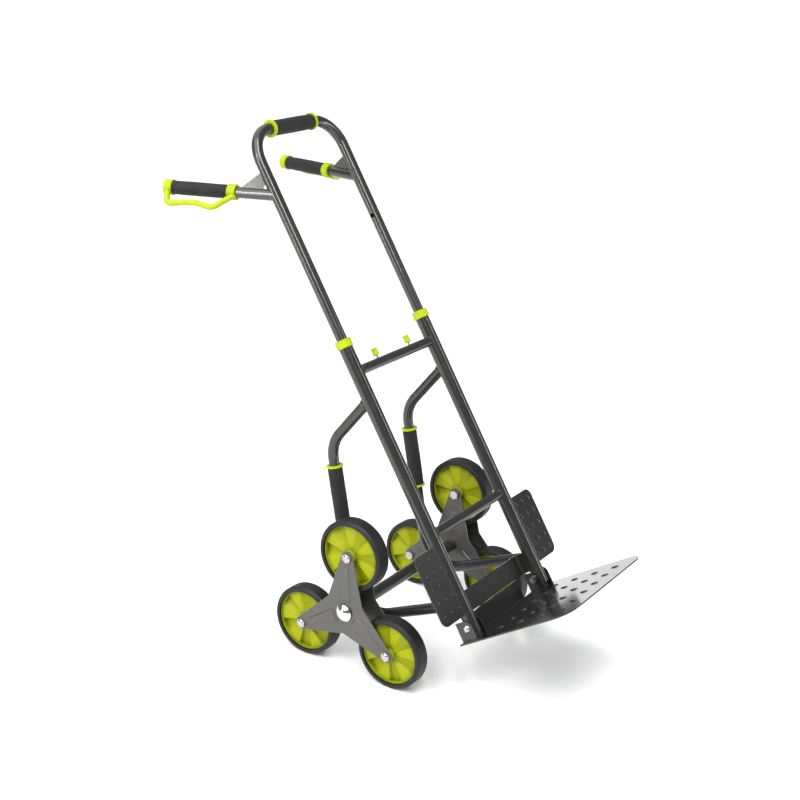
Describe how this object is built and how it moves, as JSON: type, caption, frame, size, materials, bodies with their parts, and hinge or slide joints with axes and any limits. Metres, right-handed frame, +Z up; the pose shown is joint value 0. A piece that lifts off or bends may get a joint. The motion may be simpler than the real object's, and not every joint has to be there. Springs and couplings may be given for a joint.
{
  "type": "stair climbing sack truck",
  "caption": "Telescoping sack truck that climbs stairs on three-wheel star sets, with folding toe plate, side handles and hand guards.",
  "frame": {"origin": "centre of the footprint on the floor the wheels stand on", "axes": "+X across the truck to its right, +Y towards the back, where the handles are, +Z up; the frame leans back as it is wheeled"},
  "size_m": [0.511, 1.0518, 1.1329],
  "materials": {
    "frame_paint": "satin anthracite metallic paint on steel tube",
    "wing_paint": "dark anthracite paint on pressed sheet steel",
    "handle_paint": "semi-gloss anthracite metallic paint on steel tube",
    "toe_paint": "glossy dark anthracite paint on pressed plate",
    "zinc": "bright zinc plating",
    "chrome_cap": "polished chrome cap",
    "black_plastic": "matte black moulded plastic",
    "lime_plastic": "satin lime-green moulded plastic",
    "foam": "matte black closed-cell foam",
    "star_plate": "grey metallic paint on pressed plate",
    "star_hub": "plain steel sleeve",
    "rim_plastic": "satin lime-green moulded plastic",
    "tyre": "smooth matte black rubber"
  },
  "bodies": {
    "frame": {"left_upright": "frame_paint", "right_upright": "frame_paint", "upper_crossbar": "frame_paint", "lower_crossbar": "frame_paint", "left_side_loop": "frame_paint", "right_side_loop": "frame_paint", "axle_tube": "frame_paint", "axle_shaft": "zinc", "axle_washers": "zinc", "axle_caps": "chrome_cap", "cross_plate": "frame_paint", "left_wing_plate": "wing_paint", "right_wing_plate": "wing_paint", "upright_plugs": "black_plastic", "hinge_bolts": "zinc", "left_tube_collar": "lime_plastic", "right_tube_collar": "lime_plastic", "left_loop_sleeve": "foam", "right_loop_sleeve": "foam", "loop_sleeve_rings": "lime_plastic"},
    "handle": {"handle_tube": "handle_paint", "leg_bushes": "black_plastic", "top_grip": "foam", "top_grip_rings": "lime_plastic", "left_side_handle": "handle_paint", "right_side_handle": "handle_paint", "left_gusset": "handle_paint", "right_gusset": "handle_paint", "left_side_grip": "foam", "right_side_grip": "foam", "left_hand_guard": "lime_plastic", "right_hand_guard": "lime_plastic"},
    "toe_plate": {"toe_plate": "toe_paint"},
    "left_lock": {"left_lock_knob": "lime_plastic", "left_lock_pin": "zinc"},
    "right_lock": {"right_lock_knob": "lime_plastic", "right_lock_pin": "zinc"},
    "left_star": {"left_star_outer_plate": "star_plate", "left_star_inner_plate": "star_plate", "left_star_hub": "star_hub", "left_wheel_bolts": "zinc"},
    "left_top_wheel": {"left_top_rim": "rim_plastic", "left_top_tyre": "tyre"},
    "left_front_wheel": {"left_front_rim": "rim_plastic", "left_front_tyre": "tyre"},
    "left_rear_wheel": {"left_rear_rim": "rim_plastic", "left_rear_tyre": "tyre"},
    "right_star": {"right_star_outer_plate": "star_plate", "right_star_inner_plate": "star_plate", "right_star_hub": "star_hub", "right_wheel_bolts": "zinc"},
    "right_top_wheel": {"right_top_rim": "rim_plastic", "right_top_tyre": "tyre"},
    "right_front_wheel": {"right_front_rim": "rim_plastic", "right_front_tyre": "tyre"},
    "right_rear_wheel": {"right_rear_rim": "rim_plastic", "right_rear_tyre": "tyre"}
  },
  "joints": [
    {"name": "handle_slide", "type": "slide", "parent": "frame", "child": "handle", "axis": [0, 0.5592, 0.829], "range_m": [-0.312, 0]},
    {"name": "toe_plate_fold", "type": "hinge", "parent": "frame", "child": "toe_plate", "pos_m": [0, -0.28916, 0.16632], "axis": [-1, 0, 0], "range_deg": [0, 90]},
    {"name": "left_lock_slide", "type": "slide", "parent": "frame", "child": "left_lock", "axis": [1, 0, 0], "range_m": [0, 0.01], "stiffness_N_per_m": 400, "springref_m": -0.008},
    {"name": "right_lock_slide", "type": "slide", "parent": "frame", "child": "right_lock", "axis": [-1, 0, 0], "range_m": [0, 0.01], "stiffness_N_per_m": 400, "springref_m": -0.008},
    {"name": "left_star_spin", "type": "hinge", "parent": "frame", "child": "left_star", "pos_m": [-0.2165, -0.02882, 0.1455], "axis": [1, 0, 0], "continuous": true},
    {"name": "left_top_wheel_spin", "type": "hinge", "parent": "left_star", "child": "left_top_wheel", "pos_m": [-0.2165, -0.02882, 0.2765], "axis": [1, 0, 0], "continuous": true},
    {"name": "left_front_wheel_spin", "type": "hinge", "parent": "left_star", "child": "left_front_wheel", "pos_m": [-0.2165, -0.14227, 0.08], "axis": [1, 0, 0], "continuous": true},
    {"name": "left_rear_wheel_spin", "type": "hinge", "parent": "left_star", "child": "left_rear_wheel", "pos_m": [-0.2165, 0.08463, 0.08], "axis": [1, 0, 0], "continuous": true},
    {"name": "right_star_spin", "type": "hinge", "parent": "frame", "child": "right_star", "pos_m": [0.2165, -0.02882, 0.1455], "axis": [1, 0, 0], "continuous": true},
    {"name": "right_top_wheel_spin", "type": "hinge", "parent": "right_star", "child": "right_top_wheel", "pos_m": [0.2165, -0.02882, 0.2765], "axis": [1, 0, 0], "continuous": true},
    {"name": "right_front_wheel_spin", "type": "hinge", "parent": "right_star", "child": "right_front_wheel", "pos_m": [0.2165, -0.14227, 0.08], "axis": [1, 0, 0], "continuous": true},
    {"name": "right_rear_wheel_spin", "type": "hinge", "parent": "right_star", "child": "right_rear_wheel", "pos_m": [0.2165, 0.08463, 0.08], "axis": [1, 0, 0], "continuous": true}
  ]
}
